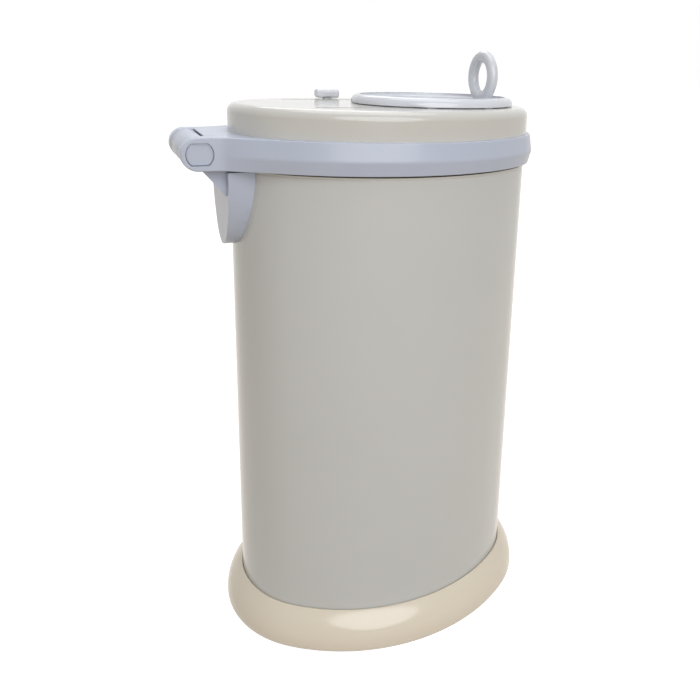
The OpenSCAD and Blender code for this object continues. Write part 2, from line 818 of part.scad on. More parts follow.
module door_rails() {
    color(white) at_bin() difference() {
        union() {
            for (far = [false, true]) on_side(far) translate([-rail_half, 0, 0]) rotate([90, 0, 90])
                linear_extrude(2 * rail_half) {
                    translate([rail_in, liner_top]) square([rail_foot, 2.5]);
                    translate([rail_in, liner_top]) square([rail_wall, web_top - liner_top]);
                    translate([rail_in - 5.8, runner_z - move_gap - 2.2]) square([5.8 + rail_wall, 2.2]);
                }
            at_each(rail_places) translate([0, 0, liner_top])
                cylinder(r = 3 * small_radius, h = rail_grip + 2 * spare);
        }
        at_each(rail_places) translate([0, 0, liner_top - spare])
            cylinder(r = small_radius + thread_gap, h = rail_grip + 2 * spare);
    }
}

module rail_screws() {
    color(zinc) at_bin() at_each(rail_places) translate([0, 0, liner_z])
        screw(small_radius, liner_thick + rail_grip);
}

module door_carriage() {
    color(white) at_bin() difference() {
        union() {
            for (side = [-1, 1]) translate([bar_x, side * (runner_in + runner_out) / 2 - runner_width / 2, runner_z])
                cube([runner_length, runner_width, runner_height]);
            translate([bar_x, -runner_in - 1, runner_z]) cube([bar_width, 2 * runner_in + 2, runner_height]);
            translate([lug_x, runner_in + 3, runner_top - 0.7]) cube([lug_length, runner_width - 3 + lug_out, 3.2]);
        }
        at_each(leg_places) translate([0, 0, runner_z - spare]) {
            cylinder(r = small_radius + pass_gap, h = runner_height + 2 * spare);
            cylinder(r = head_width * small_radius + pass_gap, h = head_sink + spare);
        }
    }
}

module carriage_screws() {
    color(zinc) at_bin() at_each(leg_places) translate([0, 0, runner_z + head_sink])
        screw(small_radius, runner_height - head_sink + leg_grip);
}

handle_places = [for (side = [-1, 1]) [door_front - ring_inset, side * neck_width / 4]];
handle_grip = 3.8;

// The rim is round outside and falls in a hollow arc to the dish.
module door_rim() {
    rim_top = door_z + door_height;
    fall = door_height - door_plate;
    intersection() {
        union() {
            translate([-door_edge, rim_top - door_edge]) circle(r = door_edge);
            translate([-door_edge, door_z]) square([door_edge, door_height - door_edge]);
        }
        translate([-door_edge, door_z]) square([door_edge, door_height]);
    }
    difference() {
        translate([-door_edge - fall, door_z]) square([fall, door_height]);
        translate([-door_edge - fall, rim_top]) circle(r = fall);
    }
}

module sliding_door() {
    color(white) at_bin() difference() {
        union() {
            translate([door_mid, 0, 0]) {
                translate([0, 0, door_z]) linear_extrude(door_plate)
                    oval_plan(door_length / 2 - door_edge, door_width / 2 - door_edge);
                oval_ring(door_length / 2, door_width / 2) door_rim();
            }
            at_each(leg_places) translate([-leg_length / 2, -leg_width / 2, runner_top])
                cube([leg_length, leg_width, door_z + 1 - runner_top]);
        }
        at_each(leg_places) translate([0, 0, runner_top - spare])
            cylinder(r = small_radius + thread_gap, h = leg_grip + 2 * spare);
        at_each(handle_places) translate([0, 0, door_z - spare]) {
            cylinder(r = small_radius + pass_gap, h = door_plate + 2 * spare);
            cylinder(r = head_width * small_radius + pass_gap, h = head_sink + spare);
        }
    }
}

module ring_handle() {
    ring_x = door_front - ring_inset;
    round_r = ring_thick / 2;
    neck_round = round_r - 0.4;
    color(white) at_bin() difference() {
        union() {
            intersection() {
                translate([ring_x, 0, ring_z]) rotate([0, 90, 0]) rotate_extrude() {
                    for (r = [ring_hole + round_r, ring_radius - round_r]) translate([r, 0]) circle(r = round_r);
                    translate([ring_hole + round_r, -round_r])
                        square([ring_radius - ring_hole - ring_thick, ring_thick]);
                }
                translate([0, -reach / 2, dish_z]) cube(reach);
            }
            translate([ring_x, 0, dish_z]) linear_extrude(ring_rise - ring_hole - round_r) {
                for (side = [-1, 1]) translate([0, side * (neck_width / 2 - neck_round)]) circle(r = neck_round);
                square([2 * neck_round, neck_width - 2 * neck_round], center = true);
            }
        }
        at_each(handle_places) translate([0, 0, dish_z - spare])
            cylinder(r = small_radius + thread_gap, h = handle_grip + 2 * spare);
    }
}

module handle_screws() {
    color(zinc) at_bin() at_each(handle_places) translate([0, 0, door_z + head_sink])
        screw(small_radius, door_plate - head_sink + handle_grip);
}

/* ---- child lock ---- */

bolt_thick = 2.5;
bolt_z = runner_top + 0.1;
bolt_top = bolt_z + bolt_thick;
guide_top = bolt_z - move_gap;
guide_thick = 2.4;
knob_z = lid_top + 0.6;

module lock_knob() {
    cut = 2;
    color(white) at_bin() translate([-knob_back, knob_y, 0]) {
        intersection() {
            translate([0, 0, knob_z]) linear_extrude(knob_height) polygon([
                [cut - knob_length / 2, -knob_width / 2], [knob_length / 2 - cut, -knob_width / 2],
                [knob_length / 2, cut - knob_width / 2], [knob_length / 2, knob_width / 2 - cut],
                [knob_length / 2 - cut, knob_width / 2], [cut - knob_length / 2, knob_width / 2],
                [-knob_length / 2, knob_width / 2 - cut], [-knob_length / 2, cut - knob_width / 2]]);
            translate([0, knob_width, knob_z]) rotate([90, 0, 0]) linear_extrude(2 * knob_width) polygon([
                [-knob_length / 2, 0], [knob_length / 2, 0], [knob_length / 2, knob_height - cut],
                [knob_length / 2 - cut, knob_height], [cut - knob_length / 2, knob_height],
                [-knob_length / 2, knob_height - cut]]);
        }
        difference() {
            translate([-stem_size / 2, -stem_size / 2, bolt_top])
                cube([stem_size, stem_size, knob_z + 1 - bolt_top]);
            translate([0, 0, bolt_top - spare]) cylinder(r = small_radius + thread_gap, h = 5);
        }
    }
}

// The tongue's tip waits beside the carriage's lug, and enters its way when the knob is moved in.
module lock_bolt() {
    tip_y = runner_out + lug_out + 1.2;
    tip_x = lug_x - 1;
    color(zinc) at_bin() difference() {
        translate([0, 0, bolt_z]) linear_extrude(bolt_thick) polygon([
            [-knob_back - 7, knob_y - 5], [tip_x - 7, knob_y - 5], [tip_x - 7, tip_y], [tip_x, tip_y],
            [tip_x, knob_y - 0.8], [-knob_back + 6, knob_y - 0.8], [-knob_back + 6, knob_y + 5],
            [-knob_back - 7, knob_y + 5]]);
        translate([-knob_back, knob_y, bolt_z - spare]) {
            cylinder(r = small_radius + pass_gap, h = bolt_thick + 2 * spare);
            cylinder(r = head_width * small_radius + pass_gap, h = head_sink + spare);
        }
    }
}

module lock_screw() {
    color(zinc) at_bin() translate([-knob_back, knob_y, bolt_z + head_sink])
        screw(small_radius, bolt_thick - head_sink + 3.4);
}

module lock_guide() {
    guide_in = runner_out + lug_out + 2 * move_gap;
    color(white) at_bin() difference() {
        translate([0, 0, guide_top - guide_thick]) linear_extrude(guide_thick) polygon([
            [-knob_back - 18, guide_in], [-knob_back + 7, guide_in], [-knob_back + 13, knob_y + 5],
            [-knob_back + 13, knob_y + 12], [-knob_back - 3, knob_y + 12], [-knob_back - 18, knob_y + 4]]);
        at_each(guide_places) translate([0, 0, guide_top - guide_thick - spare])
            cylinder(r = small_radius + pass_gap, h = guide_thick + 2 * spare);
    }
}

module guide_screws() {
    color(zinc) at_bin() at_each(guide_places) translate([0, 0, guide_top - guide_thick])
        screw(small_radius, guide_thick + 3.6);
}

body_shell();
base_skirt();
base_floor();
base_screws();
foot_pads();
top_collar();
collar_seal();
hinge_bracket();
bracket_plate();
bracket_screws();
hinge_pin();
bag_ring();
lid_band();
lid_shell();
lid_liner();
lid_screws();
door_seal();
door_rails();
rail_screws();
lock_guide();
guide_screws();
hinge_bush(false);  // hinge_bush_near
hinge_bush(true);  // hinge_bush_far
button_spring(false);  // button_spring_near
button_spring(true);  // button_spring_far
hinge_button(false);  // hinge_button_near
hinge_button(true);  // hinge_button_far
sliding_door();
ring_handle();
handle_screws();
door_carriage();
carriage_screws();
lock_knob();
lock_bolt();
lock_screw();
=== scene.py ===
import math

import bmesh
import bpy
from bpy.props import FloatProperty, PointerProperty, StringProperty
from mathutils import Matrix, Vector
from mathutils.geometry import delaunay_2d_cdt


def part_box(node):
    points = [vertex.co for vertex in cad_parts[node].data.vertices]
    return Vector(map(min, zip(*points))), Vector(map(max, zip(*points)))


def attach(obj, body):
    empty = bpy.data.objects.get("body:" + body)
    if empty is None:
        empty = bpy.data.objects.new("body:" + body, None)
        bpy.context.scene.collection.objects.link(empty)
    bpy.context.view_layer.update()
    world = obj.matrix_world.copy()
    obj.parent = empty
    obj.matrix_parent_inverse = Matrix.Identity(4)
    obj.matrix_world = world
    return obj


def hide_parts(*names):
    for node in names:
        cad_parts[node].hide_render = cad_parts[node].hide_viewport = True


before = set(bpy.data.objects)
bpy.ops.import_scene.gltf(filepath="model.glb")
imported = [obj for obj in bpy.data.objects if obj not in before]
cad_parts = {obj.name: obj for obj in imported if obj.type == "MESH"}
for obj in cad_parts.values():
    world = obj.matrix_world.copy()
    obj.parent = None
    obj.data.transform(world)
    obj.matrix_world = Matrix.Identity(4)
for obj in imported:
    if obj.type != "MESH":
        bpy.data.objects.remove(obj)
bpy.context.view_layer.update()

bl_info = {
    "name": "Nappy bin",
    "version": (1, 0, 0),
    "blender": (4, 5, 0),
    "location": "3D View > Sidebar > Nappy bin",
    "description": "Dresses an oval steel nappy bin with its lid, sliding door, child lock and hinge",
    "category": "Add Mesh",
}

# Meshes are built in millimetres from the steel body's centre line.
# solid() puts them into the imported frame.
MM = 0.001
STEEL_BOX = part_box("body_shell")
BODY_MID = (STEEL_BOX[0].x + STEEL_BOX[1].x) / 2


def placed(p):
    return Vector((p.x - BODY_MID, p.y, p.z)) / MM


def low(name):
    return placed(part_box(name)[0])


def high(name):
    return placed(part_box(name)[1])


def middle(name):
    return (low(name) + high(name)) / 2


# ---- sizes and colours that a user would change ----

class BinShape(bpy.types.PropertyGroup):
    edge: FloatProperty(
        name="Edge rounding", description="Radius of the moulded edges",
        default=0.0009, min=0.0003, max=0.002, unit="LENGTH")
    crease: FloatProperty(
        name="Band crease", description="Half width of the rounding along the lid band's crease",
        default=0.0010, min=0.0003, max=0.004, unit="LENGTH")
    dent: FloatProperty(
        name="Dent depth", description="Depth of the shallow dent in the steel",
        default=0.0007, min=0.0, max=0.0015, unit="LENGTH")
    knob_edge: FloatProperty(
        name="Knob rounding", description="Radius of the child lock knob's edges",
        default=0.0022, min=0.001, max=0.003, unit="LENGTH")
    flare: FloatProperty(
        name="Ring flare", description="How far the ring handle's foot spreads over the door",
        default=0.0012, min=0.0, max=0.003, unit="LENGTH")


class BinColours(bpy.types.PropertyGroup):
    steel: StringProperty(name="Steel", description="Powder coat on the steel body", default="#C8C8C6")
    cream: StringProperty(name="Cream", description="Base skirt and floor pan", default="#E2D7C4")
    shell: StringProperty(name="Stone", description="Lid shell and top collar", default="#CBC9C3")
    band: StringProperty(
        name="Blue-white", description="Lid band, arms, buttons and bracket", default="#B9C0D0")
    white: StringProperty(
        name="White", description="Door, ring handle, knob, liner and bag ring", default="#D2D4DA")
    rubber: StringProperty(name="Rubber", description="Seals and foot pads", default="#2C2826")


def size(name):
    """A size of the panel in millimetres."""
    return getattr(bpy.context.scene.bin_shape, name) / MM


def colours():
    return bpy.context.scene.bin_colours


# ---- small mesh tools ----

def arc(centre, radius, start, end, steps):
    """Points of an arc, angles in degrees."""
    return [(centre[0] + radius * math.cos(math.radians(start + (end - start) * i / steps)),
             centre[1] + radius * math.sin(math.radians(start + (end - start) * i / steps)))
            for i in range(steps + 1)]


def fillet(points, radius, steps=5):
    """The closed outline with each corner rounded. A radius is one number or one for each point."""
    radii = radius if isinstance(radius, list) else [radius] * len(points)
    out = []
    for i, here in enumerate(points):
        if radii[i] <= 0:
            out.append(tuple(here))
            continue
        p = Vector(here)
        before, after = Vector(points[i - 1]) - p, Vector(points[(i + 1) % len(points)]) - p
        half = before.angle(after) / 2
        cut = min(radii[i] / math.tan(half), 0.49 * before.length, 0.49 * after.length)
        reach = cut * math.tan(half)
        centre = p + (before.normalized() + after.normalized()).normalized() * (reach / math.sin(half))
        first, last = p + before.normalized() * cut - centre, p + after.normalized() * cut - centre
        turn = math.atan2(first.x * last.y - first.y * last.x, first.dot(last))
        for k in range(steps + 1):
            a = turn * k / steps
            out.append((centre.x + first.x * math.cos(a) - first.y * math.sin(a),
                        centre.y + first.x * math.sin(a) + first.y * math.cos(a)))
    return out


def oval_at(a, b, angle):
    """Place and outward normal on an oval of four arcs on 3-4-5 triangles, a at least b."""
    unit = (a - b) / 2
    n = (math.cos(angle), math.sin(angle))
    if abs(n[0]) >= 0.6:
        c, r = (math.copysign(3 * unit, n[0]), 0), a - 3 * unit
    else:
        c, r = (0, -math.copysign(4 * unit, n[1])), b + 4 * unit
    return (c[0] + r * n[0], c[1] + r * n[1]), n


def oval(a, b, centre_x, count):
    """Stations round an oval. One that is wider than long is the same oval, turned."""
    stations = []
    for i in range(count):
        p, n = oval_at(max(a, b), min(a, b), 2 * math.pi * i / count)
        if a < b:
            p, n = (p[1], -p[0]), (n[1], -n[0])
        stations.append(((centre_x + p[0], p[1]), n))
    return stations


def outline(stations, out):
    return [(p[0] + n[0] * out, p[1] + n[1] * out) for p, n in stations]


def skin(mesh, rows, ring=True, closed=True):
    """Joins rows of points by quads.

    ring joins the last row to the first, closed joins each row's end to its start.
    """
    made = [[mesh.verts.new(p) for p in row] for row in rows]
    for i in range(len(made) if ring else len(made) - 1):
        here, there = made[i], made[(i + 1) % len(made)]
        for k in range(len(here) if closed else len(here) - 1):
            m = (k + 1) % len(here)
            mesh.faces.new((here[k], there[k], there[m], here[m]))
    return made


def loft(mesh, stations, section, closed=True):
    """Carries a section of (distance outside, height) points around closed stations."""
    return skin(mesh, [[(p[0] + n[0] * o, p[1] + n[1] * o, z) for o, z in section] for p, n in stations],
                closed=closed)


def inside(p, loop):
    """Whether a point lies inside a closed outline."""
    hit = False
    for i, a in enumerate(loop):
        b = loop[i - 1]
        if (a[1] > p.y) != (b[1] > p.y) and p.x < (b[0] - a[0]) * (p.y - a[1]) / (b[1] - a[1]) + a[0]:
            hit = not hit
    return hit


def plate(mesh, edge, holes, z_top, z_low):
    """A flat plate's two faces and the walls of its holes.

    The outer edge is left to the piece around it.
    """
    loops = [edge] + holes
    flat = [Vector(p) for loop in loops for p in loop]
    edges, first = [], 0
    for loop in loops:
        edges += [(first + i, first + (i + 1) % len(loop)) for i in range(len(loop))]
        first += len(loop)
    verts, _, faces, *_ = delaunay_2d_cdt(flat, edges, [], 0, 1e-5)
    top = [mesh.verts.new((v.x, v.y, z_top)) for v in verts]
    under = [mesh.verts.new((v.x, v.y, z_low)) for v in verts]
    for f in faces:
        p = sum((verts[i] for i in f), Vector((0, 0))) / len(f)
        if inside(p, edge) and not any(inside(p, hole) for hole in holes):
            mesh.faces.new([top[i] for i in f])
            mesh.faces.new([under[i] for i in reversed(f)])
    for a, b in edges[len(edge):]:
        mesh.faces.new((top[a], under[a], under[b], top[b]))


def bar(mesh, lowest, highest, edge, segments=3):
    """A rectangular bar with rounded edges."""
    made = bmesh.ops.create_cube(mesh, size=1)["verts"]
    lo, hi = Vector(lowest), Vector(highest)
    for v in made:
        v.co = Vector(((hi[k] - lo[k]) * v.co[k] + (hi[k] + lo[k]) / 2 for k in range(3)))
    bmesh.ops.bevel(mesh, geom=list({e for v in made for e in v.link_edges}), offset=edge,
                    segments=segments, profile=0.5, affect="EDGES")


def tower(mesh, rows):
    """Stacked outlines of equal length with a face on each end."""
    made = skin(mesh, rows, ring=False)
    mesh.faces.new(made[0])
    mesh.faces.new(list(reversed(made[-1])))


def solid(name, mesh):
    """The built mesh as an object of the scene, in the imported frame."""
    bmesh.ops.remove_doubles(mesh, verts=mesh.verts, dist=1e-4)
    bmesh.ops.recalc_face_normals(mesh, faces=mesh.faces)
    bmesh.ops.transform(mesh, verts=mesh.verts,
                        matrix=Matrix.Translation((BODY_MID, 0, 0)) @ Matrix.Scale(MM, 4))
    data = bpy.data.meshes.new(name)
    mesh.to_mesh(data)
    mesh.free()
    made = bpy.data.objects.new(name, data)
    bpy.context.scene.collection.objects.link(made)
    return made


def settle(made):
    """Turns an object's modifiers into its mesh."""
    bpy.context.view_layer.update()
    data = bpy.data.meshes.new_from_object(made.evaluated_get(bpy.context.evaluated_depsgraph_get()))
    made.modifiers.clear()
    made.data = data
    data.name = made.name


def dress(made, body, look, nodes, sharp=35):
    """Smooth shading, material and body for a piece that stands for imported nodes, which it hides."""
    data = made.data
    data.polygons.foreach_set("use_smooth", [True] * len(data.polygons))
    data.set_sharp_from_angle(angle=math.radians(sharp))
    data.materials.clear()
    data.materials.append(MATERIALS[look])
    even = made.modifiers.new("Even shading", "WEIGHTED_NORMAL")
    even.keep_sharp = True
    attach(made, body)
    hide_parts(*nodes)


def piece(name, mesh, body, look, nodes, sharp=35):
    """A built mesh as a finished piece of the scene."""
    dress(solid(name, mesh), body, look, nodes, sharp)


# ---- materials ----

def linear(code):
    """An sRGB hex colour as linear RGBA."""
    parts = [int(code[i:i + 2], 16) / 255 for i in (1, 3, 5)]
    return [c / 12.92 if c <= 0.04045 else ((c + 0.055) / 1.055) ** 2.4 for c in parts] + [1.0]


def node(tree, kind, settings=None, inputs=None, links=None):
    """Adds a node with its settings, input values and links from other nodes' outputs."""
    made = tree.nodes.new(kind)
    for key, value in (settings or {}).items():
        setattr(made, key, value)
    for key, value in (inputs or {}).items():
        made.inputs[key].default_value = value
    for key, socket in (links or {}).items():
        tree.links.new(socket, made.inputs[key])
    return made


COAT_ROUGHNESS = 0.05
CLOUD_SCALE, CLOUD_DETAIL, CLOUD_SPAN = 11.0, 4.0, (0.3, 0.7)
GRAIN_DETAIL = 2.0


def noise(tree, place, scale, detail):
    return node(tree, "ShaderNodeTexNoise", None, {"Scale": scale, "Detail": detail},
                {"Vector": place}).outputs["Fac"]


def finish(name, colour, shade, grain, gloss, coat=0.0, ior=1.5, metal=0.0):
    """One moulded or coated surface: colour drift, drifting gloss and fine relief.

    grain is the size and the depth of one grain in millimetres, gloss the lowest and highest roughness.
    """
    made = bpy.data.materials.new(name)
    made.use_nodes = True
    tree = made.node_tree
    shader = tree.nodes["Principled BSDF"]
    shader.inputs["IOR"].default_value = ior
    shader.inputs["Metallic"].default_value = metal
    shader.inputs["Coat Weight"].default_value = coat
    shader.inputs["Coat Roughness"].default_value = COAT_ROUGHNESS
    place = node(tree, "ShaderNodeTexCoord").outputs["Object"]
    cloud = noise(tree, place, CLOUD_SCALE, CLOUD_DETAIL)
    drift = node(tree, "ShaderNodeMix", {"data_type": "RGBA"}, {6: linear(colour), 7: linear(shade)},
                 {0: cloud})
    tree.links.new(drift.outputs[2], shader.inputs["Base Color"])
    rough = node(tree, "ShaderNodeMapRange", None,
                 {"From Min": CLOUD_SPAN[0], "From Max": CLOUD_SPAN[1],
                  "To Min": gloss[0], "To Max": gloss[1]}, {"Value": cloud})
    tree.links.new(rough.outputs["Result"], shader.inputs["Roughness"])
    relief = noise(tree, place, 1 / (grain[0] * MM), GRAIN_DETAIL)
    bump = node(tree, "ShaderNodeBump", None, {"Strength": 1.0, "Distance": grain[1] * MM},
                {"Height": relief})
    tree.links.new(bump.outputs["Normal"], shader.inputs["Normal"])
    return made


MATERIALS = {}


def make_materials():
    c = colours()
    # Polyester powder coat baked on steel: a deep even gloss over the faint swell of its flow.
    MATERIALS["steel"] = finish(
        "Powder-coated steel, gloss", c.steel, "#C3C3C0", (2.2, 0.006), (0.09, 0.15), coat=0.3)
    # Moulded gloss ABS: a hard bright skin with soft reflections, faintly uneven where it cooled.
    for look, tone, colour, shade, gloss, coat in (
            ("cream", "cream", c.cream, "#DDD1BD", (0.14, 0.22), 0.4),
            ("shell", "stone", c.shell, "#C7C4BD", (0.14, 0.22), 0.4),
            ("band", "blue-white", c.band, "#B4BBCC", (0.28, 0.36), 0.15),
            ("white", "white", c.white, "#CDD0D6", (0.14, 0.22), 0.4)):
        MATERIALS[look] = finish("ABS, moulded gloss " + tone, colour, shade, (3.0, 0.005), gloss, coat=coat)
    # Acetal bearing plastic: slick, slightly waxy.
    MATERIALS["bearing"] = finish(
        "Acetal, machined", "#E2E2DE", "#DCDCD6", (0.6, 0.01), (0.34, 0.42), ior=1.48)
    # Nitrile rubber: dull, with a dusty grain.
    MATERIALS["rubber"] = finish(
        "Nitrile rubber, moulded", c.rubber, "#35302D", (0.5, 0.03), (0.6, 0.75), ior=1.52)
    # Zinc plate on steel: bright but clouded by its crystals.
    MATERIALS["zinc"] = finish(
        "Zinc-plated steel", "#B9BCC0", "#AEB2B7", (0.4, 0.01), (0.28, 0.4), metal=1.0)


# ---- steel body and base ----

LONG, SHORT = high("body_shell").x, high("body_shell").y
STEEL_WALL = 0.8
FOOT_SHOW = low("base_skirt").z
PLATE_LOW, PLATE_TOP = 4.5, low("body_shell").z
AROUND = 288


def body_stations():
    return oval(LONG, SHORT, 0, AROUND)


class BIN_OT_steel_body(bpy.types.Operator):
    """Oval steel tube with its rolled edges and a shallow dent"""
    bl_idname = "bin.steel_body"
    bl_label = "Steel body"

    def execute(self, context):
        mesh = bmesh.new()
        lip, courses = 0.3, 48
        z_low, z_high = low("body_shell").z, high("body_shell").z
        levels = [z_low + (z_high - z_low) * i / courses for i in range(1, courses)]
        section = [(-lip, z_low), (0, z_low + lip)] + [(0, z) for z in levels]
        section += [(0, z_high - lip), (-lip, z_high), (-STEEL_WALL, z_high)]
        section += [(-STEEL_WALL, z) for z in reversed(levels)] + [(-STEEL_WALL, z_low)]
        loft(mesh, body_stations(), section)
        dent, spread = Vector((52, -79, 98)), Vector((30, 30, 42))
        for v in mesh.verts:
            away = Vector([(v.co[k] - dent[k]) / spread[k] for k in range(3)]).length
            if away < 1:
                v.co.y += size("dent") * (1 - away * away) ** 2
        piece("steel_body", mesh, "bin", "steel", ["body_shell"], sharp=60)
        return {"FINISHED"}


class BIN_OT_base_skirt(bpy.types.Operator):
    """Flared base skirt with its rounded top edge and the plate that the body stands on"""
    bl_idname = "bin.base_skirt"
    bl_label = "Base skirt"

    def execute(self, context):
        mesh = bmesh.new()
        top = high("base_skirt").z
        spread = high("base_skirt").x - LONG
        widest, tuck, nose, gap, wall = FOOT_SHOW + 4.8, 2.5, 0.9, 0.15, 2.4
        run, rise = spread - gap - nose, top - nose - widest
        flare = (run * run + rise * rise - nose * nose) / (2 * (run - nose))
        under = (tuck * tuck + (widest - FOOT_SHOW) ** 2) / (2 * tuck)
        heel, joggle, joggle_low, joggle_high = 0.5, 3, 12, 9
        # Over the nose, down the flare, round under its widest line, along the foot and back up inside.
        lean = math.degrees(math.atan2(rise, gap + nose - (spread - flare)))
        section = [(gap, PLATE_TOP)]
        section += arc((gap + nose, top - nose), nose, 180, lean, 10)
        section += arc((spread - flare, widest), flare, lean, 0, 26)[1:]
        tuck_angle = -math.degrees(math.asin((widest - FOOT_SHOW) / under))
        section += arc((spread - under, widest), under, 0, tuck_angle * 0.9, 8)[1:]
        section += [(spread - tuck - heel, FOOT_SHOW), (spread - tuck - wall, FOOT_SHOW),
                    (spread - tuck - wall, widest), (gap + wall + joggle, top - joggle_low),
                    (gap + wall, top - joggle_high), (gap + wall, PLATE_LOW)]
        loft(mesh, body_stations(), section, closed=False)
        for z, inner in ((PLATE_LOW, gap + wall), (PLATE_TOP, gap)):
            mesh.faces.new([mesh.verts.new((x, y, z)) for x, y in outline(body_stations(), inner)])
        piece("base_skirt_flared", mesh, "bin", "cream", ["base_skirt"])
        return {"FINISHED"}


# ---- lid band with its arms ----

BAND_LOW, BAND_TOP = low("lid_band").z, high("lid_band").z
BAND_MID = (BAND_LOW + BAND_TOP) / 2
CREASE_Z = BAND_LOW + 9.6
OUT_LOW, OUT_CREASE, OUT_TOP = 3.5, 6.0, 3.9
# The crease fades in along the arm, this far from the hinge and over this length.
CREASE_START, CREASE_FADE = 10, 35
HINGE_X = middle("hinge_pin").x
ARM_IN, ARM_LINE = 27.7, 34.95
OUT_ARM = high("hinge_button_far").y - ARM_LINE
# Seen from above, the arm's straight side bends out by LEAN in a hollow arc, runs straight and comes
# back in a shoulder arc that ends on the body's oval. Each bend touches its neighbours.
LEAN = math.radians(32.52)
HOLLOW_R, SHOULDER_R = 21.0, 167.0
SHOULDER_Y = SHORT - SHOULDER_R
HOLLOW_X = ((ARM_LINE + HOLLOW_R - SHOULDER_Y) * math.cos(LEAN) - SHOULDER_R - HOLLOW_R) / math.sin(LEAN)
# The inner side runs straight to ARM_ROOT and then round the lid shell. SEAT_TURN is how far past the
# oval's side it stands, in degrees, where the shoulder arc begins.
ARM_ROOT, SEAT_TURN = -112.0, 40
SHELL_OUT = 0.9
END_ARC_X = 1.5 * (LONG - SHORT)
SEAT_R = LONG - END_ARC_X + SHELL_OUT
BARREL_R = 10.9
WEB_REAR, WEB_STEP = HINGE_X + BARREL_R + 1.3, BARREL_R + 1
PEG_ORBIT, PEG_R = 7.2, 1.2
BUTTON_R, BUTTON_FLATS, GROOVE = 8.9, 14.2, 0.3
POCKET_GAP, POCKET_END, OVERCUT = 0.5, 37.2, 0.5
FLANGE_R, SPRING_ROOM_R = BUTTON_R - 0.05, 5.2
CAP_DEEP, FLANGE_DEEP, CAP_WALL = 2.8, 4.8, 1.5


def band_out(z, crease):
    """How far the band's face stands outside its route at a height."""
    lower = (OUT_CREASE - OUT_LOW) / (CREASE_Z - BAND_LOW)
    upper = (OUT_CREASE - OUT_TOP) / (BAND_TOP - CREASE_Z)
    away, soft = z - CREASE_Z, size("crease")
    if away < -soft:
        out = OUT_CREASE + lower * away
    elif away > soft:
        out = OUT_CREASE - upper * away
    else:
        out = OUT_CREASE - (lower * (soft - away) ** 2 + upper * (soft + away) ** 2) / (4 * soft)
    return OUT_ARM + crease * (out - OUT_ARM)


def seat(angle):
    """The band's inner place beside the lid shell, at an angle of the oval in degrees."""
    p, n = oval_at(LONG, SHORT, math.radians(angle))
    return p[0] + n[0] * SHELL_OUT, p[1] + n[1] * SHELL_OUT


def band_route():
    """From the far arm's end to the front's middle: place, normal, inner place and inner rounding."""
    route = []
    for i in range(5):
        x = HINGE_X + (HOLLOW_X - HINGE_X) * i / 5
        route.append(((x, ARM_LINE), (0, 1), (x, ARM_IN), 1.0))
    for i in range(13):
        a = LEAN * i / 12
        p = (HOLLOW_X + HOLLOW_R * math.sin(a), ARM_LINE + HOLLOW_R * (1 - math.cos(a)))
        x = HOLLOW_X + (ARM_ROOT - HOLLOW_X) * i / 12
        rounding = 1.0 if x < WEB_REAR - 0.5 else 0.0
        route.append((p, (-math.sin(a), math.cos(a)), (x, ARM_IN), rounding))
    start = route[-1][0]
    end = (-SHOULDER_R * math.sin(LEAN), SHOULDER_Y + SHOULDER_R * math.cos(LEAN))
    arm_turn = math.degrees(math.acos(ARM_IN / SEAT_R))
    for i in range(1, 13):
        t = i / 12
        p = tuple(start[k] + (end[k] - start[k]) * t for k in range(2))
        angle = 90 + arm_turn + (SEAT_TURN - arm_turn) * t
        route.append((p, (-math.sin(LEAN), math.cos(LEAN)), seat(angle), 0.0))
    for i in range(1, 25):
        a = LEAN * (1 - i / 24)
        p = (-SHOULDER_R * math.sin(a), SHOULDER_Y + SHOULDER_R * math.cos(a))
        route.append((p, (-math.sin(a), math.cos(a)), seat(90 + SEAT_TURN * (1 - i / 24)), 0.0))
    for i in range(1, 61):
        angle = 90 * (1 - i / 60)
        p, n = oval_at(LONG, SHORT, math.radians(angle))
        route.append((p, n, seat(angle), 0.0))
    return route


def band_half(station, up):
    """Half of the band's section, from the inner face's middle over the top or under to the outer middle."""
    p, n, q, rounding = station
    reach = min(1, max(0, (p[0] - HINGE_X - CREASE_START) / CREASE_FADE))
    crease = reach * reach * (3 - 2 * reach)
    edge, least = size("edge"), 0.02
    inner = max(edge * rounding, least)
    gap = Vector((p[0] + n[0] - q[0], p[1] + n[1] - q[1])).normalized()
    face = BAND_TOP if up else BAND_LOW
    way = 1 if up else -1
    points = [(q[0], q[1], BAND_MID)]
    for i in range(5):
        a = math.pi / 2 * i / 4
        along = inner * (1 - math.cos(a))
        points.append((q[0] + gap.x * along, q[1] + gap.y * along, face - way * inner * (1 - math.sin(a))))
    shoulder = band_out(face - way * edge, crease) - edge
    for i in range(6):
        a = math.pi / 2 * (1 - i / 5)
        out = shoulder + edge * math.cos(a)
        points.append((p[0] + n[0] * out, p[1] + n[1] * out, face - way * edge * (1 - math.sin(a))))
    for i in range(1, 13):
        z = face - way * edge + (BAND_MID - face + way * edge) * i / 12
        out = band_out(z, crease)
        points.append((p[0] + n[0] * out, p[1] + n[1] * out, z))
    return points


def mirrored(points):
    return [(x, -y, z) for x, y, z in points]


def button_outline(radius, flats, x, y):
    """A circle with a flat above and below, across the hinge axis."""
    rise = math.asin(flats / 2 / radius)
    points = []
    for side in (0, math.pi):
        for i in range(17):
            a = side - rise + 2 * rise * i / 16
            points.append((x + radius * math.cos(a), y, BAND_MID + radius * math.sin(a)))
    return points


def round_outline(radius, x, y):
    """A full circle with as many points as a button's outline."""
    return button_outline(radius, 2 * radius - 0.01, x, y)


